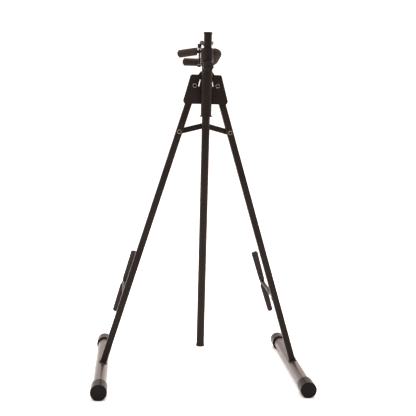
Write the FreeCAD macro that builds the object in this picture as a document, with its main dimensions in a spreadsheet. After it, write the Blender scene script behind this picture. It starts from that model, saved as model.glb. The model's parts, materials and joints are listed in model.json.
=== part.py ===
import FreeCAD, Part
import math
import os
import Sketcher
from FreeCAD import Placement, Rotation, Vector

# Folding floor stand for a cello, bass or guitar: an A-frame of two square legs on long
# foot tubes, a telescopic mast with a padded neck yoke, and two padded side rests.
# Frame: +Z up, +Y towards the instrument, +X to the right seen from behind,
# origin on the floor at the middle of the four rubber caps. Millimetres and degrees.

os.makedirs("parts", exist_ok=True)
doc = FreeCAD.newDocument("floor_stand")

# ---------------------------------------------------------------- driving dimensions
SIZES = (
    ("foot_half_span", 242.0, "middle plane to the axis of each foot tube"),
    ("foot_length", 388.0, "foot over both rubber caps"),
    ("foot_od", 30.0, "foot tube outside diameter"),
    ("foot_wall", 1.5, "foot tube wall"),
    ("cap_od", 38.5, "rubber cap outside diameter"),
    ("cap_depth", 34.0, "how far a cap covers the tube"),
    ("cap_end", 4.0, "end wall of a cap"),
    ("cap_round", 1.6, "rounding of a cap's end edge"),
    ("cap_flat", 0.6, "depth of the flat that a cap stands on"),
    ("leg_setback", 25.0, "leg plane behind the middle of the feet"),
    ("leg_side", 16.0, "square leg tube, outside"),
    ("leg_wall", 1.2, "leg tube wall"),
    ("leg_round", 1.8, "rounding of the leg's long edges"),
    ("leg_overrun", 14.0, "leg above its pivot"),
    ("plug_depth", 8.0, "end plug inside the leg"),
    ("plug_lip", 2.0, "end plug outside the leg"),
    ("pivot_half_span", 27.6, "middle plane to each leg pivot"),
    ("pivot_height", 715.6, "leg pivots above the floor"),
    ("plate_wall", 2.0, "bracket plate thickness"),
    ("plate_gap", 0.5, "washer gap between leg and plate"),
    ("plate_top_half", 36.2, "half width of the plate's top edge"),
    ("plate_knee_half", 53.3, "half width of the plate at its knee"),
    ("plate_foot_half", 50.0, "half width of the plate's bottom edge"),
    ("plate_rise", 26.2, "plate above the pivots"),
    ("plate_knee", 36.4, "knee below the pivots"),
    ("plate_drop", 43.6, "plate below the pivots"),
    ("plate_round", 4.0, "rounding of the plate's corners"),
    ("neck_rise", 8.0, "rear plate's neck above its top edge"),
    ("neck_flare", 6.0, "how far the neck widens towards the plate"),
    ("slot_width", 3.6, "slanted slot in the plates"),
    ("slot_length", 18.0, "slanted slot, end to end"),
    ("slot_lean", 12.0, "lean of the slots from upright"),
    ("slot_half_span", 15.6, "middle plane to the middle of each slot"),
    ("rivet_od", 8.0, "pivot rivet shank"),
    ("rivet_bore", 4.6, "hole in the rolled end of a semi-tubular rivet"),
    ("rivet_head", 12.0, "rivet head diameter"),
    ("rivet_head_wall", 1.2, "rivet head thickness"),
    ("rivet_bore_depth", 9.0, "blind depth of the hole, from the rivet's rolled end"),
    ("hinge_play", 0.05, "radial play of a shaft in its hole"),
    ("mast_od", 19.05, "mast tube outside diameter"),
    ("mast_wall", 1.2, "mast tube wall"),
    ("mast_foot", 80.0, "lowest point of the lowered mast"),
    ("mast_above", 37.0, "mast above the yoke collar"),
    ("mast_cap_od", 20.8, "lip of the mast end caps"),
    ("mast_cap_lip", 4.7, "height of the mast cap lip"),
    ("mast_cap_plug", 14.0, "mast cap inside the tube"),
    ("sleeve_od", 25.4, "guide sleeve outside diameter"),
    ("sleeve_wall", 1.5, "guide sleeve wall"),
    ("sleeve_above", 27.2, "sleeve above the plates"),
    ("sleeve_length", 124.0, "guide sleeve length"),
    ("bush_depth", 20.0, "plastic bush inside the sleeve"),
    ("bush_lip_od", 29.6, "lip of the lower bush"),
    ("bush_lip", 3.0, "height of a bush lip"),
    ("neck_margin", 1.0, "rear plate's neck beyond each side of the sleeve"),
    ("collar_gap", 2.0, "gap between upper bush and yoke collar"),
    ("collar_length", 29.0, "yoke collar length"),
    ("collar_step", 0.8, "yoke collar's surface outside the sleeve's, so that the channel clears it"),
    ("collar_pin_od", 4.0, "cross pin of the collar"),
    ("collar_pin_inset", 0.4, "ends of the cross pin below the collar's surface"),
    ("knob_below", 9.0, "clamp screw below the sleeve's top"),
    ("knob_od", 25.0, "clamp knob diameter"),
    ("knob_height", 13.0, "clamp knob height"),
    ("knob_flute", 2.6, "flute radius of the knob"),
    ("knob_gap", 1.0, "knob behind the threaded boss"),
    ("screw_gap", 0.3, "screw tip behind the mast when it is backed off"),
    ("screw_recess", 2.0, "screw end inside the knob's outer face"),
    ("screw_od", 6.0, "clamp screw diameter"),
    ("boss_od", 14.0, "threaded boss on the sleeve"),
    ("boss_length", 8.0, "threaded boss length"),
    ("bracket_width", 30.6, "yoke channel, over both flanges"),
    ("bracket_wall", 2.0, "yoke channel thickness"),
    ("bracket_height", 40.0, "yoke channel height"),
    ("bracket_depth", 20.5, "flange length in front of the web"),
    ("bracket_sink", 10.5, "channel's foot below the collar's foot"),
    ("block_height", 19.0, "clamp block height"),
    ("block_play", 0.1, "clamp block clear of the channel's web and flanges"),
    ("block_sink", 0.5, "clamp block below the channel's top edge"),
    ("block_short", 0.6, "clamp block shorter than the flanges"),
    ("block_slit", 0.8, "saw cut that lets the block grip the rod"),
    ("lug_reach", 6.7, "pin lugs beyond the flange"),
    ("lug_length", 10.0, "pin lugs from rear to front"),
    ("lug_back", 8.0, "rear edge of the lugs behind the channel's web"),
    ("pin_back", 5.5, "bracket pin's axis behind the channel's web"),
    ("pin_tail", 4.5, "bracket pin's lower head"),
    ("pin_od", 4.0, "bracket pin shank"),
    ("pin_head_od", 9.5, "bracket pin head"),
    ("yoke_rod_od", 8.0, "bent rod inside the yoke"),
    ("yoke_below_top", 7.5, "rod axis below the channel's top edge"),
    ("yoke_ahead", 7.0, "rod axis in front of the channel's back face"),
    ("yoke_droop", 25.0, "front prong below level at rest"),
    ("yoke_spread", 53.0, "rear prong to front prong, centres"),
    ("yoke_heel", 29.0, "closed end to the right of the mast"),
    ("yoke_rear_reach", 66.0, "rear prong tip to the left of the mast"),
    ("yoke_front_reach", 52.0, "front prong tip to the left of the mast"),
    ("yoke_toe_in", 15.0, "rear prong tip turned towards the front"),
    ("yoke_kink", 26.0, "bend of the rear prong to the left of the mast"),
    ("yoke_kink_bend", 14.0, "bend radius of the rear prong"),
    ("yoke_front_bend", 17.0, "bend radius where the front prong starts"),
    ("yoke_taper", 8.0, "front corner of the closed end inside the rear corner"),
    ("yoke_foam_gap", 0.5, "foam clear of the channel and its lugs"),
    ("plug_rim", 1.5, "how far a rod's end plug stands out all round"),
    ("yoke_plug", 2.0, "length of the yoke's end plugs"),
    ("yoke_foam_od", 19.0, "foam tube on the yoke"),
    ("wing_ahead", 16.5, "wing nut axis in front of the channel's back face"),
    ("wing_span", 34.0, "wing nut over both wings"),
    ("wing_height", 19.0, "wing nut height"),
    ("wing_hub_od", 9.5, "wing nut hub"),
    ("wing_wall", 2.0, "wing thickness"),
    ("wing_tab_od", 11.0, "round end of a wing"),
    ("wing_washer_wall", 1.0, "washer under the wing nut"),
    ("wing_gap", 0.1, "wing nut clear of its washer"),
    ("bolt_od", 5.0, "clamp bolt shank"),
    ("bolt_head", 4.0, "clamp bolt head height"),
    ("link_width", 13.4, "spreader link width"),
    ("link_wall", 2.5, "spreader link thickness"),
    ("link_layer_gap", 0.3, "gap between the two link layers"),
    ("link_pin_od", 6.0, "spreader rivet shank"),
    ("spreader_drop", 115.9, "leg pivot to spreader rivet, along the leg"),
    ("spreader_rise", 16.2, "middle joint above the spreader rivets"),
    ("arm_height", 190.0, "side rest axis above the floor"),
    ("arm_reach", 190.0, "rest bar in front of the leg plane"),
    ("arm_rod_od", 10.0, "side rest rod"),
    ("arm_boss_od", 16.0, "welded boss on the leg"),
    ("arm_boss_length", 12.0, "welded boss length"),
    ("arm_inset", 1.0, "rod's end in front of the leg's middle plane"),
    ("retainer_wall", 1.5, "ring that keeps the rod in the leg"),
    ("retainer_ahead", 2.5, "that ring in front of the leg's middle plane"),
    ("tee_od", 13.0, "tee that joins rod and bar"),
    ("tee_length", 14.0, "tee length along the bar"),
    ("bar_od", 8.0, "bar inside the rest pads"),
    ("pad_upper", 80.0, "upper rest pad length"),
    ("pad_lower", 76.0, "lower rest pad length"),
    ("pad_upper_end", 18.4, "upper rest pad diameter at its free end"),
    ("pad_upper_root", 15.6, "upper rest pad diameter at the tee"),
    ("pad_lower_root", 18.0, "lower rest pad diameter at the tee"),
    ("pad_lower_end", 14.6, "lower rest pad diameter at its free end"),
    ("pad_fit", 0.05, "foam clear of the rod inside it"),
    ("bar_plug", 1.6, "length of the bar's end plugs"),
)
sheet = doc.addObject("Spreadsheet::Sheet", "Sizes")
for row, (alias, value, meaning) in enumerate(SIZES, start=1):
    sheet.set("A%d" % row, meaning)
    sheet.set("B%d" % row, str(value))
    sheet.setAlias("B%d" % row, alias)
doc.recompute()


def size(alias):
    return float(sheet.get(alias))


def number(expression):
    return float(sheet.evalExpression(expression))


# ---------------------------------------------------------------- places worked out once
ACROSS = Vector(1, 0, 0)
FORWARD = Vector(0, 1, 0)
BACK = Vector(0, -1, 0)
UP = Vector(0, 0, 1)
DOWN = Vector(0, 0, -1)
SIDES = (("left", -1), ("right", 1))

leg_y = -size("leg_setback")
half_leg = size("leg_side") / 2
foot_z = size("cap_od") / 2 - size("cap_flat")
leg_run = size("foot_half_span") - size("pivot_half_span")
leg_rise = size("pivot_height") - foot_z
leg_span = math.hypot(leg_run, leg_rise)
leg_lean = math.degrees(math.atan2(leg_run, leg_rise))
plate_out = half_leg + size("plate_gap") + size("plate_wall")
mast_y = leg_y - plate_out - size("sleeve_od") / 2
plate_top_z = size("pivot_height") + size("plate_rise")
sleeve_top_z = plate_top_z + size("sleeve_above")
sleeve_foot_z = sleeve_top_z - size("sleeve_length")
collar_z = sleeve_top_z + size("bush_lip") + size("collar_gap")
bracket_z = collar_z - size("bracket_sink")
bracket_top_z = bracket_z + size("bracket_height")
web_y = mast_y + size("sleeve_od") / 2 + size("collar_step")
yoke_y = web_y + size("yoke_ahead")
yoke_z = bracket_top_z - size("yoke_below_top")
wing_y = web_y + size("wing_ahead")
knob_z = sleeve_top_z - size("knob_below")
mast_top_z = collar_z + size("collar_length") + size("mast_above")


def along_leg(side, distance):
    """Point on a leg's axis, at a distance up from the foot axis."""
    share = distance / leg_span
    x = side * (size("foot_half_span") - leg_run * share)
    return Vector(x, leg_y, foot_z + leg_rise * share)


def leg_direction(side):
    return Vector(-side * leg_run, 0, leg_rise).normalize()


def leg_turn(side):
    return Rotation(FORWARD, -side * leg_lean)


# ---------------------------------------------------------------- building helpers
nodes = []


def keep(label, thing):
    """Names a finished sub-part; its label is its node's name."""
    thing.Label = label
    nodes.append(thing)
    return thing


def turned_to(direction):
    return Rotation(UP, direction)


def place(thing, base, rotation=Rotation()):
    thing.Placement = Placement(base, rotation)
    return thing


def cylinder(diameter, height, base, direction):
    rod = doc.addObject("Part::Cylinder", "Round")
    rod.setExpression("Radius", "(%s) / 2" % diameter)
    rod.setExpression("Height", height)
    return place(rod, base, turned_to(direction))


def box(across, deep, high, corner):
    block = doc.addObject("Part::Box", "Block")
    block.setExpression("Length", across)
    block.setExpression("Width", deep)
    block.setExpression("Height", high)
    return place(block, corner)


def fused(*pieces):
    join = doc.addObject("Part::MultiFuse", "Join")
    join.Shapes = list(pieces)
    join.Refine = True
    return join


def cut(base, *tools):
    """Base less each tool in turn."""
    for tool in tools:
        step = doc.addObject("Part::Cut", "Cut")
        step.Base = base
        step.Tool = tool
        base = step
    return base


def group(*pieces):
    """Identical fasteners kept as separate solids in one node."""
    bundle = doc.addObject("Part::Compound", "Group")
    bundle.Links = list(pieces)
    return bundle


def turned(steps, base, direction, bore=None):
    """A turned piece: (diameter, length) steps stacked along a direction, bored if asked."""
    at = Vector(base)
    pieces = []
    for diameter, length in steps:
        pieces.append(cylinder(diameter, length, at, direction))
        at = at + Vector(direction) * number(length)
    solid = pieces[0] if len(pieces) == 1 else fused(*pieces)
    if bore:
        whole = " + ".join(length for diameter, length in steps)
        solid = cut(solid, cylinder(bore, whole, base, direction))
    return solid


def origin_plane(body, role):
    return next(part for part in body.Origin.OriginFeatures if part.Role == role)


def sketch_on(body, role):
    sketch = body.newObject("Sketcher::SketchObject", "Sketch")
    sketch.AttachmentSupport = [(origin_plane(body, role), "")]
    sketch.MapMode = "FlatFace"
    return sketch


def draw_circle(sketch, centre, diameter):
    circle = Part.Circle(Vector(centre[0], centre[1], 0), UP, number(diameter) / 2)
    index = sketch.addGeometry(circle)
    bound = sketch.addConstraint(Sketcher.Constraint("Diameter", index, number(diameter)))
    sketch.setExpression("Constraints[%d]" % bound, diameter)


def draw_loop(sketch, points):
    """A closed run of straight edges."""
    for start, end in zip(points, points[1:] + points[:1]):
        edge = Part.LineSegment(Vector(start[0], start[1], 0), Vector(end[0], end[1], 0))
        sketch.addGeometry(edge)


def draw_square(sketch, side):
    """A square centred on the sketch's origin, its side bound to the sheet."""
    half = number(side) / 2
    corners = [(-half, -half), (half, -half), (half, half), (-half, half)]
    first = sketch.GeometryCount
    draw_loop(sketch, corners)
    for edge in range(4):
        here, there = first + edge, first + (edge + 1) % 4
        sketch.addConstraint(Sketcher.Constraint("Coincident", here, 2, there, 1))
    sketch.addConstraint(Sketcher.Constraint("Horizontal", first))
    sketch.addConstraint(Sketcher.Constraint("Vertical", first + 1))
    sketch.addConstraint(Sketcher.Constraint("Horizontal", first + 2))
    sketch.addConstraint(Sketcher.Constraint("Vertical", first + 3))
    sketch.addConstraint(Sketcher.Constraint("Symmetric", first, 1, first + 1, 2, -1, 1))
    for edge in (first, first + 1):
        bound = sketch.addConstraint(Sketcher.Constraint("Distance", edge, number(side)))
        sketch.setExpression("Constraints[%d]" % bound, side)


def draw_stadium(sketch, middle, width, length, lean):
    """A slot with round ends, its long axis leaning from upright by an angle."""
    radius = width / 2
    half = length / 2 - radius
    tilt = math.radians(lean)
    up = Vector(math.sin(tilt), math.cos(tilt), 0)
    out = Vector(math.cos(tilt), -math.sin(tilt), 0)
    middle = Vector(middle[0], middle[1], 0)
    top, foot = middle + up * half, middle - up * half
    sketch.addGeometry(Part.LineSegment(foot + out * radius, top + out * radius))
    sketch.addGeometry(Part.Arc(top + out * radius, top + up * radius, top - out * radius))
    sketch.addGeometry(Part.LineSegment(top - out * radius, foot - out * radius))
    sketch.addGeometry(Part.Arc(foot - out * radius, foot - up * radius, foot + out * radius))


def pad(body, sketch, length):
    feature = body.newObject("PartDesign::Pad", "Pad")
    feature.Profile = sketch
    feature.setExpression("Length", length)
    return feature


def pocket(body, sketch, length, reversed_way):
    feature = body.newObject("PartDesign::Pocket", "Pocket")
    feature.Profile = sketch
    feature.setExpression("Length", length)
    feature.Reversed = reversed_way
    return feature


def pocket_through(body, sketch):
    feature = body.newObject("PartDesign::Pocket", "Through")
    feature.Profile = sketch
    feature.Type = "ThroughAll"
    feature.SideType = "Symmetric"
    return feature


def tapered(root, end, length, bore, base, direction):
    """A bored cone, from its root diameter to its end diameter."""
    cone = doc.addObject("Part::Cone", "Taper")
    cone.setExpression("Radius1", "(%s) / 2" % root)
    cone.setExpression("Radius2", "(%s) / 2" % end)
    cone.setExpression("Height", length)
    place(cone, base, turned_to(direction))
    return cut(cone, cylinder(bore, length, base, direction))


def ring(outer, bore, length, base, direction):
    """A padded round tube, or a bar when it has no bore."""
    body = doc.addObject("PartDesign::Body", "Tube")
    sketch = sketch_on(body, "XY_Plane")
    draw_circle(sketch, (0, 0), outer)
    if bore:
        draw_circle(sketch, (0, 0), bore)
    pad(body, sketch, length)
    return place(body, base, turned_to(direction))


def rounded_run(points, radii):
    """Straight runs through the points, joined by tangent arcs of the given radii."""
    edges = []
    start = points[0]
    for before, corner, after, radius in zip(points, points[1:], points[2:], radii):
        inward = (before - corner).normalize()
        onward = (after - corner).normalize()
        half_turn = (math.pi - inward.getAngle(onward)) / 2
        tangent = radius * math.tan(half_turn)
        first, last = corner + inward * tangent, corner + onward * tangent
        centre_way = (inward + onward).normalize()
        middle = corner + centre_way * (radius / math.cos(half_turn) - radius)
        if (first - start).Length > 1e-6:
            edges.append(Part.LineSegment(start, first).toShape())
        edges.append(Part.Arc(first, middle, last).toShape())
        start = last
    edges.append(Part.LineSegment(start, points[-1]).toShape())
    return Part.Wire(edges)


def swept(path, diameter):
    """A round bar along a wire."""
    spine = doc.addObject("Part::Feature", "Path")
    spine.Shape = path
    first = path.Edges[0]
    profile = doc.addObject("Part::Circle", "Section")
    profile.setExpression("Radius", "(%s) / 2" % diameter)
    place(profile, first.valueAt(first.FirstParameter), turned_to(first.tangentAt(first.FirstParameter)))
    sweep = doc.addObject("Part::Sweep", "Sweep")
    sweep.Sections = [profile]
    sweep.Spine = (spine, ["Edge%d" % (i + 1) for i in range(len(path.Edges))])
    sweep.Solid = True
    sweep.Frenet = True
    return sweep


def rivet(shank, x, z, rear, front):
    """A semi-tubular rivet: its rear end is hollow and rolled over, its front head is solid."""
    head = "Sizes.rivet_head_wall"
    base = Vector(x, rear - size("rivet_head_wall"), z)
    span = "%f" % (front - rear)
    steps = [("Sizes.rivet_head", head), (shank, span), ("Sizes.rivet_head", head)]
    hollow = cylinder("Sizes.rivet_bore", "Sizes.rivet_bore_depth", base, FORWARD)
    return cut(turned(steps, base, FORWARD), hollow)


# ---------------------------------------------------------------- head bracket
def head_plate(has_neck):
    """One of the two trapezoid plates, drawn from the front and padded backwards."""
    body = doc.addObject("PartDesign::Body", "Plate")
    sketch = sketch_on(body, "XY_Plane")
    top, knee, foot = size("plate_rise"), -size("plate_knee"), -size("plate_drop")
    right = [
        (size("plate_foot_half"), foot),
        (size("plate_knee_half"), knee),
        (size("plate_top_half"), top),
    ]
    if has_neck:
        neck = size("sleeve_od") / 2 + size("neck_margin")
        right = right + [(neck + size("neck_flare"), top), (neck, top + size("neck_rise"))]
    draw_loop(sketch, right + [(-x, z) for x, z in reversed(right)])
    for side in (-1, 1):
        pivot = (side * size("pivot_half_span"), 0)
        draw_circle(sketch, pivot, "Sizes.rivet_od")
        middle = (side * size("slot_half_span"), size("plate_rise") / 4)
        draw_stadium(sketch, middle, size("slot_width"), size("slot_length"), -side * size("slot_lean"))
    blank = pad(body, sketch, "Sizes.plate_wall")
    doc.recompute()
    corners = [
        i for i, edge in enumerate(blank.Shape.Edges, start=1)
        if edge.Curve.TypeId == "Part::GeomLine"
        and abs(edge.Length - size("plate_wall")) < 1e-6
        and abs(edge.CenterOfMass.x) > size("plate_top_half") - 1.0
    ]
    fillet = body.newObject("PartDesign::Fillet", "Corners")
    fillet.Base = (blank, ["Edge%d" % i for i in corners])
    fillet.setExpression("Radius", "Sizes.plate_round")
    return body


def placed_plate(front_y, has_neck):
    return place(head_plate(has_neck), Vector(0, front_y, size("pivot_height")), Rotation(ACROSS, 90))


keep("rear_plate", placed_plate(leg_y - half_leg - size("plate_gap"), True))
keep("front_plate", placed_plate(leg_y + plate_out, False))

pivots = []
washers = []
for _, side in SIDES:
    x = side * size("pivot_half_span")
    pivots.append(rivet("Sizes.rivet_od", x, size("pivot_height"), leg_y - plate_out, leg_y + plate_out))
    for face in (-1, 1):
        gap_middle = leg_y + face * (half_leg + size("plate_gap") / 2)
        start = Vector(x, gap_middle - size("plate_gap") * 0.4, size("pivot_height"))
        hole = "Sizes.rivet_od + 2 * Sizes.hinge_play"
        washers.append(ring("2 * Sizes.rivet_od", hole, "0.8 * Sizes.plate_gap", start, FORWARD))
keep("pivot_rivets", group(*pivots))
keep("pivot_washers", group(*washers))

SLEEVE_BORE = "Sizes.sleeve_od - 2 * Sizes.sleeve_wall"
GUIDE_BORE = "Sizes.mast_od + 2 * Sizes.hinge_play"
screw_start = Vector(0, mast_y, knob_z)


def screw_hole():
    return cylinder("Sizes.screw_od + 2 * Sizes.hinge_play", "2 * Sizes.sleeve_od", screw_start, BACK)


sleeve = ring("Sizes.sleeve_od", SLEEVE_BORE, "Sizes.sleeve_length", Vector(0, mast_y, sleeve_foot_z), UP)
keep("guide_sleeve", cut(sleeve, screw_hole()))
upper_bush = turned(
    [(SLEEVE_BORE, "Sizes.bush_depth"), ("Sizes.sleeve_od", "Sizes.bush_lip")],
    Vector(0, mast_y, sleeve_top_z - size("bush_depth")), UP, bore=GUIDE_BORE)
keep("upper_bush", cut(upper_bush, screw_hole()))
lower_bush = turned(
    [("Sizes.bush_lip_od", "Sizes.bush_lip"), (SLEEVE_BORE, "Sizes.bush_depth")],
    Vector(0, mast_y, sleeve_foot_z - size("bush_lip")), UP, bore=GUIDE_BORE)
keep("lower_bush", lower_bush)
boss = turned([("Sizes.boss_od", "Sizes.sleeve_od / 2 + Sizes.boss_length")], screw_start, BACK,
              bore="Sizes.screw_od + 2 * Sizes.hinge_play")
sleeve_core = cylinder("Sizes.sleeve_od", "2 * Sizes.boss_od",
                       screw_start - UP * size("boss_od"), UP)
keep("screw_boss", cut(boss, sleeve_core))


# ---------------------------------------------------------------- clamp knob
def clamp_knob():
    """A round knob with flutes cut round its rim."""
    body = doc.addObject("PartDesign::Body", "Knob")
    disc = sketch_on(body, "XY_Plane")
    draw_circle(disc, (0, 0), "Sizes.knob_od")
    draw_circle(disc, (0, 0), "Sizes.screw_od")
    pad(body, disc, "Sizes.knob_height")
    flute = sketch_on(body, "XY_Plane")
    reach = size("knob_od") / 2 + size("knob_flute") / 2
    draw_circle(flute, (reach, 0), "2 * Sizes.knob_flute")
    groove = pocket(body, flute, "Sizes.knob_height", True)
    pattern = body.newObject("PartDesign::PolarPattern", "Flutes")
    pattern.Originals = [groove]
    pattern.Axis = (disc, ["N_Axis"])
    pattern.Angle = 360
    pattern.Occurrences = 10
    body.Tip = pattern
    return body


boss_face_y = mast_y - size("sleeve_od") / 2 - size("boss_length")
knob_y = boss_face_y - size("knob_gap")
keep("clamp_knob", place(clamp_knob(), Vector(0, knob_y, knob_z), turned_to(BACK)))
screw_tip_y = mast_y - size("mast_od") / 2 - size("screw_gap")
screw_length = "%f + Sizes.knob_height - Sizes.screw_recess" % (screw_tip_y - knob_y)
keep("clamp_screw", ring("Sizes.screw_od", None, screw_length, Vector(0, screw_tip_y, knob_z), BACK))


# ---------------------------------------------------------------- legs and feet
def leg_tube(side):
    """Square tube from the coped joint on the foot tube to just above the pivot."""
    body = doc.addObject("PartDesign::Body", "Leg")
    section = sketch_on(body, "XY_Plane")
    draw_square(section, "Sizes.leg_side")
    draw_square(section, "Sizes.leg_side - 2 * Sizes.leg_wall")
    blank = pad(body, section, "%f + Sizes.leg_overrun" % leg_span)
    doc.recompute()
    long_edges = [
        i for i, edge in enumerate(blank.Shape.Edges, start=1)
        if edge.Length > leg_span and abs(abs(edge.CenterOfMass.x) - half_leg) < 1e-6
    ]
    fillet = body.newObject("PartDesign::Fillet", "LongEdges")
    fillet.Base = (blank, ["Edge%d" % i for i in long_edges])
    fillet.setExpression("Radius", "Sizes.leg_round")
    holes = sketch_on(body, "XZ_Plane")
    draw_circle(holes, (0, 0), "Sizes.foot_od")
    draw_circle(holes, (0, leg_span), "Sizes.rivet_od + 2 * Sizes.hinge_play")
    draw_circle(holes, (0, leg_span - size("spreader_drop")), "Sizes.link_pin_od")
    pocket_through(body, holes)
    place(body, along_leg(side, 0), leg_turn(side))
    socket = cylinder("Sizes.arm_rod_od + 2 * Sizes.hinge_play", "Sizes.leg_side", arm_point(side), FORWARD)
    return cut(body, socket)


def arm_point(side):
    """Where the side rest's axis crosses the leg plane."""
    return along_leg(side, (size("arm_height") - foot_z) / leg_rise * leg_span)


def leg_plug(side):
    """Plastic plug in the top end of a leg."""
    lip = "Sizes.plug_lip"
    inner = "Sizes.leg_side - 2 * Sizes.leg_wall"
    body = doc.addObject("PartDesign::Body", "Plug")
    flange = sketch_on(body, "XY_Plane")
    draw_square(flange, "Sizes.leg_side")
    pad(body, flange, lip)
    shank = sketch_on(body, "XY_Plane")
    draw_square(shank, inner)
    stem = pad(body, shank, "Sizes.plug_depth")
    stem.Reversed = True
    return place(body, along_leg(side, leg_span + size("leg_overrun")), leg_turn(side))


def foot_cap(side, end):
    """Rubber cup on a foot tube's end, with a narrow flat to stand on."""
    body = doc.addObject("PartDesign::Body", "Cap")
    outside = sketch_on(body, "XY_Plane")
    draw_circle(outside, (0, 0), "Sizes.cap_od")
    pad(body, outside, "Sizes.cap_depth + Sizes.cap_end")
    inside = sketch_on(body, "XY_Plane")
    draw_circle(inside, (0, 0), "Sizes.foot_od")
    hollow = pocket(body, inside, "Sizes.cap_depth", True)
    doc.recompute()
    far = size("cap_depth") + size("cap_end")
    rim = [i for i, edge in enumerate(hollow.Shape.Edges, start=1)
           if abs(edge.CenterOfMass.z - far) < 1e-6 and edge.Length > math.pi * size("foot_od")]
    fillet = body.newObject("PartDesign::Fillet", "Round")
    fillet.Base = (hollow, ["Edge%d" % i for i in rim])
    fillet.setExpression("Radius", "Sizes.cap_round")
    mouth_y = end * (size("foot_length") / 2 - size("cap_depth") - size("cap_end"))
    at = Vector(side * size("foot_half_span"), mouth_y, foot_z)
    place(body, at, turned_to(FORWARD * end))
    floor_cut = box("2 * Sizes.cap_od", "2 * Sizes.foot_length", "Sizes.cap_od",
                    Vector(at.x - size("cap_od"), -size("foot_length"), -size("cap_od")))
    return cut(body, floor_cut)


for name, side in SIDES:
    keep("%s_leg_tube" % name, leg_tube(side))
    keep("%s_leg_plug" % name, leg_plug(side))
    foot_start = Vector(side * size("foot_half_span"), size("cap_end") - size("foot_length") / 2, foot_z)
    keep("%s_foot_tube" % name, ring("Sizes.foot_od", "Sizes.foot_od - 2 * Sizes.foot_wall",
                                     "Sizes.foot_length - 2 * Sizes.cap_end", foot_start, FORWARD))
    keep("%s_rear_cap" % name, foot_cap(side, -1))
    keep("%s_front_cap" % name, foot_cap(side, 1))
    boss_start = arm_point(side) + FORWARD * half_leg
    keep("%s_arm_boss" % name, ring("Sizes.arm_boss_od", "Sizes.arm_rod_od + 2 * Sizes.hinge_play",
                                    "Sizes.arm_boss_length", boss_start, FORWARD))

# ---------------------------------------------------------------- spreader
# The left link runs next to the leg and the right one a layer in front of it, so that
# they pass each other while the stand folds.
link_y = {"left": leg_y + half_leg + size("plate_gap")}
link_y["right"] = link_y["left"] + size("link_wall") + size("link_layer_gap")
middle_z = along_leg(1, leg_span - size("spreader_drop")).z + size("spreader_rise")


def spreader_link(side, rear_y):
    """Flat link with round ends, from the leg's rivet to the middle of the stand."""
    foot = along_leg(side, leg_span - size("spreader_drop"))
    run, rise = -side * abs(foot.x), size("spreader_rise")
    length = math.hypot(run, rise)
    body = doc.addObject("PartDesign::Body", "Link")
    sketch = sketch_on(body, "XY_Plane")
    middle = (0, length / 2)
    draw_stadium(sketch, middle, size("link_width"), length + size("link_width"), 0)
    draw_circle(sketch, (0, 0), "Sizes.link_pin_od + 2 * Sizes.hinge_play")
    if side < 0:
        draw_circle(sketch, (0, length), "Sizes.link_pin_od")
    pad(body, sketch, "Sizes.link_wall")
    upright = Rotation(ACROSS, 90)
    lean = Rotation(FORWARD, math.degrees(math.atan2(run, rise)))
    at = Vector(foot.x, rear_y + size("link_wall"), foot.z)
    return place(body, at, lean.multiply(upright))


for name, side in SIDES:
    foot = along_leg(side, leg_span - size("spreader_drop"))
    keep("%s_link" % name, spreader_link(side, link_y[name]))
    shank_end = link_y[name] + size("link_wall") + size("link_layer_gap")
    keep("%s_link_rivet" % name, rivet("Sizes.link_pin_od", foot.x, foot.z, leg_y - half_leg, shank_end))
spacer_start = along_leg(1, leg_span - size("spreader_drop")) + FORWARD * half_leg
spacer_span = "%f" % (link_y["right"] - leg_y - half_leg - 0.1)
keep("link_spacer", ring("2 * Sizes.link_pin_od", "Sizes.link_pin_od", spacer_span, spacer_start, FORWARD))
rear_button = turned(
    [("Sizes.rivet_head", "Sizes.rivet_head_wall"), ("Sizes.link_pin_od", "Sizes.link_wall")],
    Vector(0, link_y["left"] - size("rivet_head_wall"), middle_z), FORWARD)
keep("middle_rivet", rear_button)
front_button = ring("Sizes.rivet_head", None, "Sizes.rivet_head_wall",
                    Vector(0, link_y["right"] + size("link_wall"), middle_z), FORWARD)
keep("middle_rivet_head", front_button)

# ---------------------------------------------------------------- mast
MAST_BORE = "Sizes.mast_od - 2 * Sizes.mast_wall"
COLLAR_OD = "Sizes.sleeve_od + 2 * Sizes.collar_step"
collar_pin_z = collar_z + size("collar_length") / 2


def collar_pin():
    start = Vector(size("collar_pin_inset") - number(COLLAR_OD) / 2, mast_y, collar_pin_z)
    return cylinder("Sizes.collar_pin_od", COLLAR_OD + " - 2 * Sizes.collar_pin_inset", start, ACROSS)


tube_start = Vector(0, mast_y, size("mast_foot") + size("mast_cap_lip"))
tube_span = "%f - 2 * Sizes.mast_cap_lip" % (mast_top_z - size("mast_foot"))
mast_tube = ring("Sizes.mast_od", MAST_BORE, tube_span, tube_start, UP)
keep("mast_tube", cut(mast_tube, collar_pin()))
cap_steps = [("Sizes.mast_cap_od", "Sizes.mast_cap_lip"), (MAST_BORE, "Sizes.mast_cap_plug")]
keep("mast_top_cap", turned(cap_steps, Vector(0, mast_y, mast_top_z), DOWN))
keep("mast_foot_cap", turned(cap_steps, Vector(0, mast_y, size("mast_foot")), UP))
collar = ring(COLLAR_OD, "Sizes.mast_od", "Sizes.collar_length", Vector(0, mast_y, collar_z), UP)
keep("yoke_collar", cut(collar, collar_pin()))
keep("collar_pin", collar_pin())

# ---------------------------------------------------------------- yoke channel and clamp
half_width = size("bracket_width") / 2
flange_y = web_y + size("bracket_wall")
lug_pin = Vector(-half_width - size("lug_reach") / 2, web_y - size("pin_back"), bracket_z)


def yoke_bore(length, start_x):
    hole = "Sizes.yoke_rod_od + 2 * Sizes.hinge_play"
    return cylinder(hole, length, Vector(start_x, yoke_y, yoke_z), ACROSS)


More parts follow.
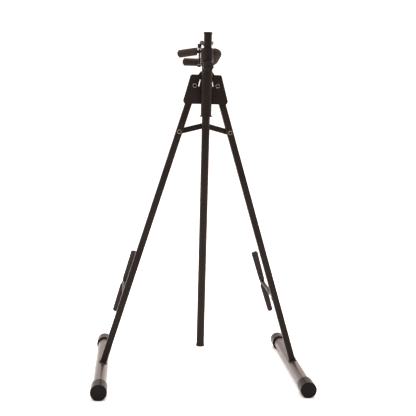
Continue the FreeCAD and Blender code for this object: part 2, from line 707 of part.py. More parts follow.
web = box("Sizes.bracket_width", "Sizes.bracket_wall", "Sizes.bracket_height",
          Vector(-half_width, web_y, bracket_z))
flanges = []
for x in (-half_width, half_width - size("bracket_wall")):
    corner = Vector(x, flange_y, bracket_z)
    flanges.append(box("Sizes.bracket_wall", "Sizes.bracket_depth", "Sizes.bracket_height", corner))
lugs = []
for z in (bracket_z, bracket_top_z - size("bracket_wall")):
    corner = Vector(-half_width - size("lug_reach"), web_y - size("lug_back"), z)
    lugs.append(box("Sizes.lug_reach", "Sizes.lug_length", "Sizes.bracket_wall", corner))
channel = fused(web, *flanges, *lugs)
lug_hole = cylinder("Sizes.pin_od", "Sizes.bracket_height", lug_pin, UP)
keep("yoke_channel", cut(channel, yoke_bore("Sizes.bracket_width", -half_width), lug_hole))
pin_steps = [
    ("0.8 * Sizes.pin_head_od", "Sizes.pin_tail"),
    ("Sizes.pin_od", "Sizes.bracket_height"),
    ("Sizes.pin_head_od", "Sizes.pin_head_od"),
]
keep("channel_pin", turned(pin_steps, lug_pin - UP * size("pin_tail"), UP))

block_half = half_width - size("bracket_wall") - size("block_play")
block_width = "%f" % (2 * block_half)
block_z = bracket_top_z - size("block_height") - size("block_sink")
block_corner = Vector(-block_half, flange_y + size("block_play"), block_z)
block = box(block_width, "Sizes.bracket_depth - Sizes.block_short", "Sizes.block_height", block_corner)
saw_cut = box(block_width, "Sizes.bracket_depth", "Sizes.block_slit",
              Vector(-block_half, yoke_y, yoke_z - size("block_slit") / 2))
bolt_hole = cylinder("Sizes.bolt_od", "Sizes.block_height", Vector(0, wing_y, block_z), UP)
keep("clamp_block", cut(block, yoke_bore("Sizes.bracket_width", -half_width), saw_cut, bolt_hole))
block_top_z = block_z + size("block_height")
washer = ring("2.4 * Sizes.bolt_od", "Sizes.bolt_od", "Sizes.wing_washer_wall",
              Vector(0, wing_y, block_top_z), UP)
keep("wing_washer", washer)
wing_z = block_top_z + size("wing_washer_wall") + size("wing_gap")
bolt_steps = [
    ("2 * Sizes.bolt_od", "Sizes.bolt_head"),
    ("Sizes.bolt_od", "%f + 0.8 * Sizes.wing_height" % (wing_z - block_z)),
]
keep("clamp_bolt", turned(bolt_steps, Vector(0, wing_y, block_z - size("bolt_head")), UP))


def wing_nut():
    """Hub with two upswept ears, each a round tab on a slanted neck."""
    hub = ring("Sizes.wing_hub_od", None, "Sizes.wing_height * 0.5", Vector(0, wing_y, wing_z), UP)
    pieces = [hub]
    tab = size("wing_tab_od") / 2
    tab_x = size("wing_span") / 2 - tab
    tab_z = wing_z + size("wing_height") - tab
    back_y = wing_y - size("wing_wall") / 2
    slope = math.degrees(math.atan2(tab_z - wing_z - tab, tab_x))
    for side in (-1, 1):
        tab_start = Vector(side * tab_x, back_y, tab_z)
        pieces.append(cylinder("Sizes.wing_tab_od", "Sizes.wing_wall", tab_start, FORWARD))
        neck = box("%f" % tab_x, "Sizes.wing_wall", "Sizes.wing_tab_od * 0.7", Vector(0, 0, 0))
        lean = Rotation(BACK, slope)
        if side < 0:
            lean = Rotation(UP, 180).multiply(lean)
        corner = Vector(0, wing_y - side * size("wing_wall") / 2, wing_z + 1)
        pieces.append(place(neck, corner, lean))
    start = Vector(0, wing_y, wing_z)
    bore = cylinder("Sizes.bolt_od + 2 * Sizes.hinge_play", "Sizes.wing_height", start, UP)
    return cut(fused(*pieces), bore)


keep("wing_nut", wing_nut())

# ---------------------------------------------------------------- yoke
droop = math.radians(size("yoke_droop"))
YOKE_FRONT = Vector(0, math.cos(droop), -math.sin(droop))
yoke_origin = Vector(0, yoke_y, yoke_z)


def in_yoke(x, out):
    """Point in the yoke's plane: across the stand, and from the rear prong to the front one."""
    return yoke_origin + ACROSS * x + YOKE_FRONT * out


heel = in_yoke(size("yoke_heel"), 0)
toe = in_yoke(size("yoke_heel") - size("yoke_taper"), size("yoke_spread"))
rear_tip = in_yoke(-size("yoke_rear_reach"), size("yoke_toe_in"))
front_tip = in_yoke(-size("yoke_front_reach"), size("yoke_spread"))
kink = in_yoke(-size("yoke_kink"), 0)
foam_heel_radius = size("yoke_foam_od") / 2 + 0.9
bends = [size("yoke_kink_bend"), foam_heel_radius, size("yoke_front_bend")]
keep("yoke_rod", swept(rounded_run([rear_tip, kink, heel, toe, front_tip], bends), "Sizes.yoke_rod_od"))

FOAM_BORE = "Sizes.yoke_rod_od + 2 * Sizes.pad_fit"


def foam_on(path):
    return cut(swept(path, "Sizes.yoke_foam_od"), swept(path, FOAM_BORE))


foam_start = in_yoke(half_width + size("yoke_foam_gap"), 0)
keep("yoke_foam", foam_on(rounded_run([foam_start, heel, toe, front_tip], bends[1:])))
tip_start = in_yoke(-half_width - size("lug_reach") - size("yoke_foam_gap"), 0)
keep("yoke_tip_foam", foam_on(rounded_run([tip_start, kink, rear_tip], bends[:1])))
tip_way = (rear_tip - kink).normalize()
plug_steps = [("Sizes.yoke_rod_od + 2 * Sizes.plug_rim", "Sizes.yoke_plug")]
rear_plug = turned(plug_steps, rear_tip, tip_way)
keep("yoke_plugs", group(rear_plug, turned(plug_steps, front_tip, -ACROSS)))

# ---------------------------------------------------------------- side rests
for name, side in SIDES:
    axis_point = arm_point(side)
    tee_at = axis_point + FORWARD * size("arm_reach")
    bar_way = leg_direction(side)
    rod_start = axis_point + FORWARD * size("arm_inset")
    rod = ring("Sizes.arm_rod_od", None, "Sizes.arm_reach - Sizes.arm_inset", rod_start, FORWARD)
    tee_start = tee_at - bar_way * (size("tee_length") / 2)
    tee_core = cylinder("Sizes.tee_od", "Sizes.tee_length", tee_start, bar_way)
    keep("%s_arm_rod" % name, cut(rod, tee_core))
    retainer_start = axis_point + FORWARD * size("retainer_ahead")
    keep("%s_arm_retainer" % name, ring("Sizes.arm_rod_od + 2 * Sizes.plug_rim", "Sizes.arm_rod_od",
                                        "Sizes.retainer_wall", retainer_start, FORWARD))
    keep("%s_arm_tee" % name, ring("Sizes.tee_od", "Sizes.bar_od", "Sizes.tee_length", tee_start, bar_way))
    bar_start = tee_start - bar_way * size("pad_lower")
    bar_length = "Sizes.pad_lower + Sizes.tee_length + Sizes.pad_upper"
    keep("%s_arm_bar" % name, ring("Sizes.bar_od", None, bar_length, bar_start, bar_way))
    pad_bore = "Sizes.bar_od + 2 * Sizes.pad_fit"
    keep("%s_lower_pad" % name, tapered("Sizes.pad_lower_root", "Sizes.pad_lower_end", "Sizes.pad_lower",
                                        pad_bore, tee_start, -bar_way))
    upper_start = tee_start + bar_way * size("tee_length")
    keep("%s_upper_pad" % name, tapered("Sizes.pad_upper_root", "Sizes.pad_upper_end", "Sizes.pad_upper",
                                        pad_bore, upper_start, bar_way))
    bar_end = upper_start + bar_way * size("pad_upper")
    plug = [("Sizes.bar_od + 2 * Sizes.plug_rim", "Sizes.bar_plug")]
    keep("%s_bar_plugs" % name, group(turned(plug, bar_start, -bar_way), turned(plug, bar_end, bar_way)))

# ---------------------------------------------------------------- checks and files
doc.recompute()
for thing in doc.Objects:
    if "Invalid" in thing.State or "Error" in thing.State:
        raise RuntimeError("%s (%s) did not build: %s" % (thing.Name, thing.Label, thing.State))
for node in nodes:
    if node.Shape.isNull() or not node.Shape.isValid() or not node.Shape.Solids:
        raise RuntimeError("%s has no valid solid" % node.Label)
    node.Shape.exportStep(os.path.join("parts", node.Label + ".step"))
print("%d nodes, %d solids" % (len(nodes), sum(len(node.Shape.Solids) for node in nodes)))
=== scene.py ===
# %% [markdown]
# # A folding instrument stand, with its finishes and light
# The engineering model of the stand is already finished: every tube, plate and rivet has its
# true size and place. This lesson gives it finishes, soft foam grips, weld beads and rolled
# rivet rims, and then lights it. Each step says what the piece is on the real object first.

# %% Load the frame
import json
import math

import bpy
from mathutils import Matrix, Vector


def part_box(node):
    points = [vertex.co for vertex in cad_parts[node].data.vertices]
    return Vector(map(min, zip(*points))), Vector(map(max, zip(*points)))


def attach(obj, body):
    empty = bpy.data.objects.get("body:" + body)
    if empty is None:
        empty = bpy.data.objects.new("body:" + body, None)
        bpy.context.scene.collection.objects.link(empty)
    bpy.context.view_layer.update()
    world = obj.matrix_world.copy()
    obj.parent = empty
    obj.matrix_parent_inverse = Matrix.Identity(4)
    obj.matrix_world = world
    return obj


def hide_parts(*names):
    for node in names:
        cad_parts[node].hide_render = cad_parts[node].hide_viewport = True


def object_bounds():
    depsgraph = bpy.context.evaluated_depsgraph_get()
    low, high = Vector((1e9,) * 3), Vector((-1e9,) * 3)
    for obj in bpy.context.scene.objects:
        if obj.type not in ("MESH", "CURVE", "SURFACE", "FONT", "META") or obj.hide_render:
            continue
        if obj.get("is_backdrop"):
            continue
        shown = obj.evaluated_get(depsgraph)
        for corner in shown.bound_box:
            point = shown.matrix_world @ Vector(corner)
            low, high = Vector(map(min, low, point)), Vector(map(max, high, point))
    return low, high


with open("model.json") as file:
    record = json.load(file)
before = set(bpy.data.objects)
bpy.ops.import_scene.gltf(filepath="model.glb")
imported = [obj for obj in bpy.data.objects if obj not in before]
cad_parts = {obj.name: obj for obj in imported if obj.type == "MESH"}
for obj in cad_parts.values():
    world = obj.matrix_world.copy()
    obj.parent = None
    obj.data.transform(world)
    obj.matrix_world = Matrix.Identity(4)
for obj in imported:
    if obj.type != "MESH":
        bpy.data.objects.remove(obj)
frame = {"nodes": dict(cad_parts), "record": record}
nodes = frame["nodes"]
record = frame["record"]
cad_low, cad_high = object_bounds()
print("%d CAD nodes, box %s to %s" % (len(nodes), tuple(cad_low), tuple(cad_high)))

# %% [markdown]
# ## Where things are
# The joints of the engineering model say where the yoke, the legs and the side rests turn.
# Reading those places keeps the new pieces on the frame, so nothing is fitted by eye.
# Directions: X runs across the stand, Y runs forwards to the instrument, and Z is up.

# %% Read the joints and name the directions
joints = {joint["name"]: joint for joint in record["behaviour"]["joints"]}
ACROSS = Vector((1, 0, 0))
FORWARD = Vector((0, 1, 0))
UP = Vector((0, 0, 1))
MM = 0.001


def joint_place(name):
    """The point that a joint turns about, in metres."""
    return Vector(joints[name]["pos_m"])


yoke_axis = joint_place("yoke_tilt")
leg_lean = math.radians(joints["right_leg_fold"]["range_deg"][1])
print("yoke turns about", tuple(yoke_axis), "legs lean", round(math.degrees(leg_lean), 2))

# %% [markdown]
# ## The camera
# The stand is seen from behind, a little from its left and from just above the middle of the
# mast. A long lens at about two metres keeps the two legs nearly the same size.

# %% Place the camera
camera_data = bpy.data.cameras.new("camera")
camera = bpy.data.objects.new("camera", camera_data)
bpy.context.scene.collection.objects.link(camera)
camera_data.lens = 64.56
camera_data.shift_y = -0.0295
camera_data.clip_start = 0.05
camera_data.clip_end = 60
TURN, DIP, ROLL = 0.103, 0.1192, 0.0261
level = Vector((math.sin(TURN), math.cos(TURN), 0))
side = Vector((math.cos(TURN), -math.sin(TURN), 0))
gaze = level * math.cos(DIP) - UP * math.sin(DIP)
crown = UP * math.cos(DIP) + level * math.sin(DIP)
cam_right = side * math.cos(ROLL) + crown * math.sin(ROLL)
cam_up = crown * math.cos(ROLL) - side * math.sin(ROLL)
turn = Matrix((cam_right, cam_up, -gaze)).transposed()
VIEWPOINT = (-0.1739, -1.8259, 0.6671)
camera.matrix_world = Matrix.Translation(VIEWPOINT) @ turn.to_4x4()
bpy.context.scene.camera = camera
print("camera at", tuple(round(v, 3) for v in camera.location))

# %% [markdown]
# ## Building a finish from nodes
# Every finish starts the same way: a Principled shader, a pattern placed by Object coordinates,
# and a bump. Object coordinates are in metres and stay with the piece when it moves, so the
# grain keeps its true size. These helpers keep the finishes below short.


# %% Helpers for finishes
class Finish:
    """A material being built: its tree, its shader and its pattern coordinates."""

    def __init__(self, name):
        self.material = bpy.data.materials.new(name)
        self.material.use_nodes = True
        self.tree = self.material.node_tree
        self.shader = self.tree.nodes["Principled BSDF"]
        self.place = self.add("ShaderNodeTexCoord").outputs["Object"]

    def add(self, kind, **settings):
        node = self.tree.nodes.new(kind)
        for key, value in settings.items():
            setattr(node, key, value)
        return node

    def join(self, source, target):
        self.tree.links.new(source, target)

    def grain(self, scale, detail=2.0, stretch=(1, 1, 1), roughness=0.5):
        """Soft noise from 0 to 1; scale is in grains per metre."""
        mapping = self.add("ShaderNodeMapping")
        mapping.inputs["Scale"].default_value = stretch
        self.join(self.place, mapping.inputs["Vector"])
        noise = self.add("ShaderNodeTexNoise")
        noise.inputs["Scale"].default_value = scale
        noise.inputs["Detail"].default_value = detail
        noise.inputs["Roughness"].default_value = roughness
        self.join(mapping.outputs["Vector"], noise.inputs["Vector"])
        return noise.outputs["Fac"]

    def cells(self, scale):
        """Distance to the nearest cell centre, for foam."""
        voronoi = self.add("ShaderNodeTexVoronoi")
        voronoi.inputs["Scale"].default_value = scale
        self.join(self.place, voronoi.inputs["Vector"])
        return voronoi.outputs["Distance"]

    def spread(self, value, low, high, start=0.3, end=0.7):
        """A value's start..end stretched to low..high."""
        node = self.add("ShaderNodeMapRange")
        for socket, number in (("From Min", start), ("From Max", end), ("To Min", low), ("To Max", high)):
            node.inputs[socket].default_value = number
        self.join(value, node.inputs["Value"])
        return node.outputs["Result"]

    def blend(self, amount, dark, light):
        """A colour between two, by an amount from 0 to 1."""
        node = self.add("ShaderNodeMix", data_type="RGBA")
        self.join(amount, node.inputs["Factor"])
        for socket, colour in ((6, dark), (7, light)):
            if isinstance(colour, tuple):
                node.inputs[socket].default_value = (*colour, 1)
            else:
                self.join(colour, node.inputs[socket])
        return node.outputs[2]

    def edges(self, radius, softness=0.06):
        """1 along sharp edges and 0 on open faces, from how a rounded normal differs."""
        rounded = self.add("ShaderNodeBevel", samples=4)
        rounded.inputs["Radius"].default_value = radius
        geometry = self.add("ShaderNodeNewGeometry")
        dot = self.add("ShaderNodeVectorMath", operation="DOT_PRODUCT")
        self.join(rounded.outputs["Normal"], dot.inputs[0])
        self.join(geometry.outputs["Normal"], dot.inputs[1])
        return self.spread(dot.outputs["Value"], 1.0, 0.0, start=1.0 - 4 * softness, end=1.0 - softness)

    def bump(self, height, depth, strength=1.0, rounding=0.0):
        """Surface relief in metres, on edges softened by a small rounding."""
        node = self.add("ShaderNodeBump")
        node.inputs["Distance"].default_value = depth
        node.inputs["Strength"].default_value = strength
        self.join(height, node.inputs["Height"])
        if rounding:
            soft = self.add("ShaderNodeBevel", samples=4)
            soft.inputs["Radius"].default_value = rounding
            self.join(soft.outputs["Normal"], node.inputs["Normal"])
        self.join(node.outputs["Normal"], self.shader.inputs["Normal"])

    def colour(self, value):
        self.join(value, self.shader.inputs["Base Color"])

    def roughness(self, value):
        self.join(value, self.shader.inputs["Roughness"])

    def settings(self, **numbers):
        for name, number in numbers.items():
            self.shader.inputs[name.replace("_", " ")].default_value = number


# %% [markdown]
# ## Black powder coat
# The legs, plates and sleeve are sprayed with black powder and baked. Baked powder has a faint
# orange-peel ripple about a millimetre long, and it polishes to a paler line where hands and
# other parts rub its edges. Noise makes the ripple, and the edge mask paints that paler line,
# which is partly this rubbed wear and partly a painted highlight along the edges.
# The gloss is kept low and slightly warm, because matt powder takes the floor's white out of
# what it mirrors. The rivets have the same recipe with a smoother skin.


# %% Make the powder coat
def powder_coat(name, dark, light, rough_low, rough_high):
    coat = Finish(name)
    cloud = coat.spread(coat.grain(14, 4), 0, 1)
    # The edge mask marks where the paint is lightened: partly rubbed wear, partly a painted highlight.
    rub_and_highlight_mask = coat.edges(0.0007)
    patchy = coat.spread(coat.grain(160, 3), 0, 1, 0.42, 0.62)
    wear_and_highlight = coat.add("ShaderNodeMath", operation="MULTIPLY")
    coat.join(rub_and_highlight_mask, wear_and_highlight.inputs[0])
    coat.join(patchy, wear_and_highlight.inputs[1])
    body = coat.blend(cloud, dark, light)
    # Edges are mixed towards a paler grey, partly as rubbed wear and partly as a painted highlight.
    coat.colour(coat.blend(wear_and_highlight.outputs["Value"], body, (0.085, 0.074, 0.068)))
    coat.roughness(coat.spread(coat.grain(55, 3), rough_low, rough_high))
    coat.bump(coat.grain(850, 1.5), 0.00012, 0.5, rounding=0.0005)
    coat.settings(Specular_IOR_Level=0.15)
    coat.shader.inputs["Specular Tint"].default_value = (1.0, 0.82, 0.74, 1)
    return coat.material


black_powder = powder_coat("black powder coat", (0.0075, 0.0058, 0.0052), (0.015, 0.0118, 0.0106),
                           0.36, 0.5)
mast_enamel = powder_coat("satin mast enamel", (0.008, 0.0064, 0.0058), (0.0145, 0.0118, 0.0108),
                          0.3, 0.4)
dark_zinc = powder_coat("blackened zinc", (0.012, 0.0098, 0.009), (0.026, 0.022, 0.02), 0.28, 0.4)
print("made", black_powder.name, mast_enamel.name, dark_zinc.name)

# %% [markdown]
# ## Glossy enamel on the feet
# The foot tubes have a smooth stoved enamel that mirrors the bright room, so their tops look
# pale although the paint is dark. A low roughness and a plain paint's refraction do that. Faint
# dust and long rub marks keep the mirror from looking like glass.


# %% Make the glossy enamel
def gloss_enamel():
    enamel = Finish("gloss foot enamel")
    dust = enamel.spread(enamel.grain(420, 5, roughness=0.7), 0, 1, 0.5, 0.75)
    enamel.colour(enamel.blend(dust, (0.035, 0.028, 0.026), (0.075, 0.062, 0.058)))
    rubs = enamel.grain(120, 3, stretch=(1, 0.05, 1))
    enamel.roughness(enamel.spread(rubs, 0.24, 0.36))
    enamel.bump(enamel.grain(300, 2), 0.00005, 0.35)
    enamel.settings(IOR=1.48)
    enamel.shader.inputs["Specular Tint"].default_value = (1.0, 0.9, 0.86, 1)
    return enamel.material


foot_enamel = gloss_enamel()
print("made", foot_enamel.name)

# %% [markdown]
# ## Bright zinc plate
# Rivets, the yoke's channel and the clamp hardware are zinc plated. Plating is a metal, so the
# shader's Metallic is 1 and its colour is the colour of its reflection. Fine drawn lines and
# slightly hazy patches set it apart from polished chrome.


# %% Make the plating
def bright_zinc():
    zinc = Finish("bright zinc plate")
    haze = zinc.spread(zinc.grain(70, 4), 0, 1)
    zinc.colour(zinc.blend(haze, (0.46, 0.425, 0.41), (0.66, 0.62, 0.6)))
    drawn = zinc.grain(900, 2, stretch=(1, 1, 0.06))
    zinc.roughness(zinc.spread(zinc.grain(240, 3), 0.16, 0.34))
    zinc.bump(drawn, 0.00006, 0.4, rounding=0.0006)
    zinc.settings(Metallic=1.0)
    return zinc.material


zinc_plate = bright_zinc()
print("made", zinc_plate.name)

# %% [markdown]
# ## Rubber and moulded plastic
# The foot caps are dipped in a firm rubber with a soft shine. The plugs, bushes and the knob
# are moulded in black plastic with a fine spark-eroded texture. Both are one recipe with
# different shine and grain.


# %% Make the moulded finishes
def moulded(name, dark, light, rough_low, rough_high, grain, depth, gloss):
    plastic = Finish(name)
    plastic.colour(plastic.blend(plastic.spread(plastic.grain(35, 4), 0, 1), dark, light))
    plastic.roughness(plastic.spread(plastic.grain(90, 4), rough_low, rough_high))
    plastic.bump(plastic.grain(grain, 2), depth, 0.5, rounding=0.0006)
    plastic.settings(Specular_IOR_Level=gloss)
    return plastic.material


cap_rubber = moulded("foot cap rubber", (0.002, 0.0016, 0.0015), (0.0045, 0.0036, 0.0033),
                     0.24, 0.34, 700, 0.00008, gloss=0.09)
black_plastic = moulded("black moulding", (0.005, 0.0042, 0.0038), (0.011, 0.0092, 0.0085),
                        0.4, 0.55, 1500, 0.00006, gloss=0.22)
white_nylon = moulded("nylon washer", (0.52, 0.5, 0.46), (0.66, 0.64, 0.6),
                      0.35, 0.5, 900, 0.00004, gloss=0.5)
print("made", cap_rubber.name, black_plastic.name, white_nylon.name)

# %% [markdown]
# ## Closed-cell foam
# The grips are extruded foam rubber. Its skin is matt, brownish black and pitted with cells
# well under a millimetre wide, and it catches a little light at grazing angles. Cell distance
# makes the pits and darkens their hollows as painted shade, two noises make the uneven colour,
# and sheen makes the soft rim.


# %% Make the foam
def foam_rubber():
    foam = Finish("closed cell foam")
    mottled = foam.spread(foam.grain(60, 5, roughness=0.65), 0, 1)
    base = foam.blend(mottled, (0.0125, 0.0098, 0.0088), (0.026, 0.0205, 0.0182))
    pits_and_pit_shade = foam.cells(1500)
    # The cell hollows are painted darker than the cell walls: painted shade in the pits.
    foam.colour(foam.blend(foam.spread(pits_and_pit_shade, 0, 1, 0.1, 0.75), base, (0.036, 0.0285, 0.0255)))
    foam.roughness(foam.spread(foam.grain(200, 2), 0.82, 0.97))
    foam.bump(pits_and_pit_shade, 0.0004, 0.55)
    foam.settings(Sheen_Weight=0.03, Sheen_Roughness=0.5, Specular_IOR_Level=0.12)
    return foam.material


foam_skin = foam_rubber()
print("made", foam_skin.name)

# %% [markdown]
# ## Dress the engineering nodes
# Each CAD node already names the kind of material that it's made of. One table turns that name
# into a finish, and a few nodes, such as the mast, are picked out by their own name.

# %% Give every node its finish
by_slot = {
    "black_steel": black_powder,
    "gloss_steel": foot_enamel,
    "plated_steel": zinc_plate,
    "rubber": cap_rubber,
    "black_plastic": black_plastic,
    "nylon": white_nylon,
    "foam": foam_skin,
}
by_node = {"mast_tube": mast_enamel, "yoke_collar": mast_enamel, "guide_sleeve": mast_enamel,
           "clamp_screw": black_powder, "yoke_rod": black_powder, "left_arm_rod": black_powder,
           "right_arm_rod": black_powder, "pivot_rivets": dark_zinc, "left_link_rivet": dark_zinc,
           "right_link_rivet": dark_zinc}
for part in record["subparts"]:
    finish = by_node.get(part["node"], by_slot[part["material_slot"]])
    for material_slot in nodes[part["node"]].material_slots:
        material_slot.material = finish
print("finished", len(record["subparts"]), "nodes")

# %% [markdown]
# ## Geometry Nodes, the short way
# Grips, welds and rivet rims all repeat or follow a line, which is what Geometry Nodes are for.
# A tree is built here in code: named inputs for its sizes, some nodes, and at the end Realize
# Instances and Set Material. The result is then turned into a plain mesh.


# %% Helpers for node trees
class Maker:
    """A Geometry Nodes tree with named inputs, applied to simple starting meshes."""

    def __init__(self, name, sizes):
        self.tree = bpy.data.node_groups.new(name, "GeometryNodeTree")
        face = self.tree.interface
        face.new_socket("Geometry", in_out="INPUT", socket_type="NodeSocketGeometry")
        face.new_socket("Geometry", in_out="OUTPUT", socket_type="NodeSocketGeometry")
        face.new_socket("Finish", in_out="INPUT", socket_type="NodeSocketMaterial")
        for size, start in sizes.items():
            socket = face.new_socket(size, in_out="INPUT", socket_type="NodeSocketFloat")
            socket.default_value = start
        self.given = self.tree.nodes.new("NodeGroupInput").outputs
        self.result = self.tree.nodes.new("NodeGroupOutput").inputs["Geometry"]

    def add(self, kind, _settings=None, **inputs):
        node = self.tree.nodes.new(kind)
        for key, value in (_settings or {}).items():
            setattr(node, key, value)
        for name, value in inputs.items():
            self.feed(value, node.inputs[name.replace("_", " ")])
        return node

    def feed(self, value, socket):
        if isinstance(value, bpy.types.NodeSocket):
            self.tree.links.new(value, socket)
        else:
            socket.default_value = value

    def sum(self, operation, first, second=0.0, third=0.0):
        node = self.add("ShaderNodeMath", {"operation": operation})
        for socket, value in zip(node.inputs, (first, second, third)):
            self.feed(value, socket)
        return node.outputs[0]

    def close(self, geometry):
        """Ends the tree: real geometry, smooth shading and the chosen finish."""
        real = self.add("GeometryNodeRealizeInstances", Geometry=geometry)
        smooth = self.add("GeometryNodeSetShadeSmooth", Geometry=real.outputs[0])
        painted = self.add("GeometryNodeSetMaterial", Geometry=smooth.outputs[0],
                           Material=self.given["Finish"])
        self.tree.links.new(painted.outputs[0], self.result)

    def make(self, name, points, finish, closed=False, lines=True, **sizes):
        """Runs the tree on a wire or on loose points, and returns a plain mesh object."""
        count = len(points)
        last = count if closed else count - 1
        edges = [(i, (i + 1) % count) for i in range(last)] if lines else []
        start = bpy.data.meshes.new(name + "_start")
        start.from_pydata([tuple(p) for p in points], edges, [])
        worker = bpy.data.objects.new(name + "_start", start)
        bpy.context.scene.collection.objects.link(worker)
        modifier = worker.modifiers.new("maker", "NODES")
        modifier.node_group = self.tree
        ids = {item.name: item.identifier for item in self.tree.interface.items_tree
               if item.item_type == "SOCKET" and item.in_out == "INPUT"}
        modifier[ids["Finish"]] = finish
        for size, value in sizes.items():
            modifier[ids[size.replace("_", " ")]] = float(value)
        bpy.context.view_layer.update()
        graph = bpy.context.evaluated_depsgraph_get()
        mesh = bpy.data.meshes.new_from_object(worker.evaluated_get(graph), depsgraph=graph)
        mesh.name = name
        bpy.data.objects.remove(worker)
        piece = bpy.data.objects.new(name, mesh)
        bpy.context.scene.collection.objects.link(piece)
        print("%s: %d faces" % (name, len(mesh.polygons)))
        return piece


def seated(piece, body):
    """The piece moves with a body."""
    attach(piece, body)
    return piece


# %% [markdown]
# ## Foam grips
# A foam grip is a thick soft tube pushed over a rod. It narrows or widens a little along its
# length, its cut ends are slightly rounded, and its skin is never perfectly even. The tree
# sweeps a circle along the rod's line: the scale at each point is the local radius, pulled in
# near both ends along a quarter circle, and a slow noise dents the skin by a fraction of a
# millimetre. A swept circle was chosen over a bevelled curve because the ends stay closed.

# %% Build the grip tree
grip = Maker("foam grip", {"Start Radius": 0.009, "End Radius": 0.009, "Edge": 0.0016, "Dent": 0.0002})
wire = grip.add("GeometryNodeMeshToCurve", Mesh=grip.given["Geometry"])
fine = grip.add("GeometryNodeResampleCurve", {"mode": "LENGTH"}, Curve=wire.outputs[0], Length=0.0006)
along = grip.add("GeometryNodeSplineParameter")
whole = grip.add("GeometryNodeSplineLength").outputs["Length"]
taper = grip.add("ShaderNodeMapRange", Value=along.outputs["Factor"],
                 To_Min=grip.given["Start Radius"], To_Max=grip.given["End Radius"]).outputs[0]
gone, left = along.outputs["Length"], grip.sum("SUBTRACT", whole, along.outputs["Length"])
near_end = grip.sum("DIVIDE", grip.sum("MINIMUM", gone, left), grip.given["Edge"])
into_edge = grip.sum("SUBTRACT", 1.0, grip.sum("MINIMUM", near_end, 1.0))
arc = grip.sum("SQRT", grip.sum("SUBTRACT", 1.0, grip.sum("MULTIPLY", into_edge, into_edge)))
pulled_in = grip.sum("MULTIPLY", grip.given["Edge"], grip.sum("SUBTRACT", 1.0, arc))
radius = grip.sum("SUBTRACT", taper, pulled_in)
ring = grip.add("GeometryNodeCurvePrimitiveCircle", Resolution=56, Radius=1.0)
skin = grip.add("GeometryNodeCurveToMesh", Curve=fine.outputs[0], Profile_Curve=ring.outputs[0],
                Scale=radius, Fill_Caps=True)
dents = grip.add("ShaderNodeTexNoise", Scale=150.0, Detail=3.0)
inward = grip.add("ShaderNodeMapRange", Value=dents.outputs[0], From_Min=0.3, From_Max=0.7,
                  To_Min=0.0, To_Max=grip.sum("MULTIPLY", grip.given["Dent"], -1.0))
normal = grip.add("GeometryNodeInputNormal")
push = grip.add("ShaderNodeVectorMath", {"operation": "SCALE"})
grip.feed(normal.outputs[0], push.inputs[0])
grip.feed(inward.outputs[0], push.inputs["Scale"])
dented = grip.add("GeometryNodeSetPosition", Geometry=skin.outputs[0], Offset=push.outputs[0])
grip.close(dented.outputs[0])
print("grip tree has", len(grip.tree.nodes), "nodes")

# %% [markdown]
# ## The line of the yoke
# The yoke is one rod bent into a U that lies on its side. Its plane droops forwards by 25
# degrees from the turning axis. Straight runs are joined by tangent arcs, as a pipe bender
# makes them, and the foam follows the same line as the rod inside it.

# %% Work out the yoke's line
DROOP = math.radians(25)
yoke_out = Vector((0, math.cos(DROOP), -math.sin(DROOP)))


def in_yoke(across, out):
    """A point in the yoke's plane, from millimetres across and out from its axis."""
    return yoke_axis + ACROSS * (across * MM) + yoke_out * (out * MM)


def bent_run(points, radii, steps=14):
    """Points along straight runs that are joined by arcs of the given radii, in metres."""
    line = [points[0]]
    for before, corner, after, radius in zip(points, points[1:], points[2:], radii):
        back, on = (before - corner).normalized(), (after - corner).normalized()
        half_turn = (math.pi - back.angle(on)) / 2
        reach = radius * math.tan(half_turn)
        centre = corner + (back + on).normalized() * (radius / math.cos(half_turn))
        first, last = corner + back * reach - centre, corner + on * reach - centre
        line += [centre + first.slerp(last, i / steps).normalized() * radius for i in range(steps + 1)]
    return line + [points[-1]]


SPREAD = 53
heel, toe = in_yoke(29, 0), in_yoke(21, SPREAD)
front_tip, rear_tip = in_yoke(-52, SPREAD), in_yoke(-66, 15)
loop_start, prong_start, kink = in_yoke(15.8, 0), in_yoke(-22.5, 0), in_yoke(-26, 0)
HEEL_BEND, FRONT_BEND, KINK_BEND = 10.4 * MM, 17 * MM, 14 * MM
loop_line = bent_run([loop_start, heel, toe, front_tip], [HEEL_BEND, FRONT_BEND])
prong_line = bent_run([prong_start, kink, rear_tip], [KINK_BEND])
print("yoke line has", len(loop_line) + len(prong_line), "points")

# %% Put foam on the yoke
YOKE_FOAM = {"Start_Radius": 9.45 * MM, "End_Radius": 9.45 * MM, "Edge": 1.8 * MM, "Dent": 0.22 * MM}


def foam_piece(name, line, body, sizes, node):
    piece = grip.make(name, line, foam_skin, **sizes)
    seated(piece, body)
    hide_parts(node)
    return piece


foam_piece("yoke_loop_grip", loop_line, "yoke", YOKE_FOAM, "yoke_foam")
foam_piece("yoke_prong_grip", prong_line, "yoke", YOKE_FOAM, "yoke_tip_foam")

# %% [markdown]
# ## Foam on the side rests
# Each side rest ends in a bar that lies along its leg's slope. Two foam sleeves are pushed on
# from the bar's ends and meet the tee in the middle. They are wider at one end than the other,
# so the same tree is used with two radii.

# %% Put foam on the side rests
TEE_AHEAD, TEE_HALF = 190 * MM, 7 * MM
for name, side_sign in (("left", -1), ("right", 1)):
    tee = joint_place(name + "_arm_swing") + FORWARD * TEE_AHEAD
    upwards = Vector((-side_sign * math.sin(leg_lean), 0, math.cos(leg_lean)))
    runs = (
        ("upper", upwards, 80 * MM, 7.75 * MM, 9.15 * MM),
        ("lower", -upwards, 76 * MM, 8.95 * MM, 7.25 * MM),
    )
    for level_name, way, length, root, end in runs:
        start = tee + way * TEE_HALF
        sizes = {"Start_Radius": root, "End_Radius": end, "Edge": 1.7 * MM, "Dent": 0.2 * MM}
        foam_piece("%s_%s_grip" % (name, level_name), [start, start + way * length],
                   name + "_arm", sizes, "%s_%s_pad" % (name, level_name))

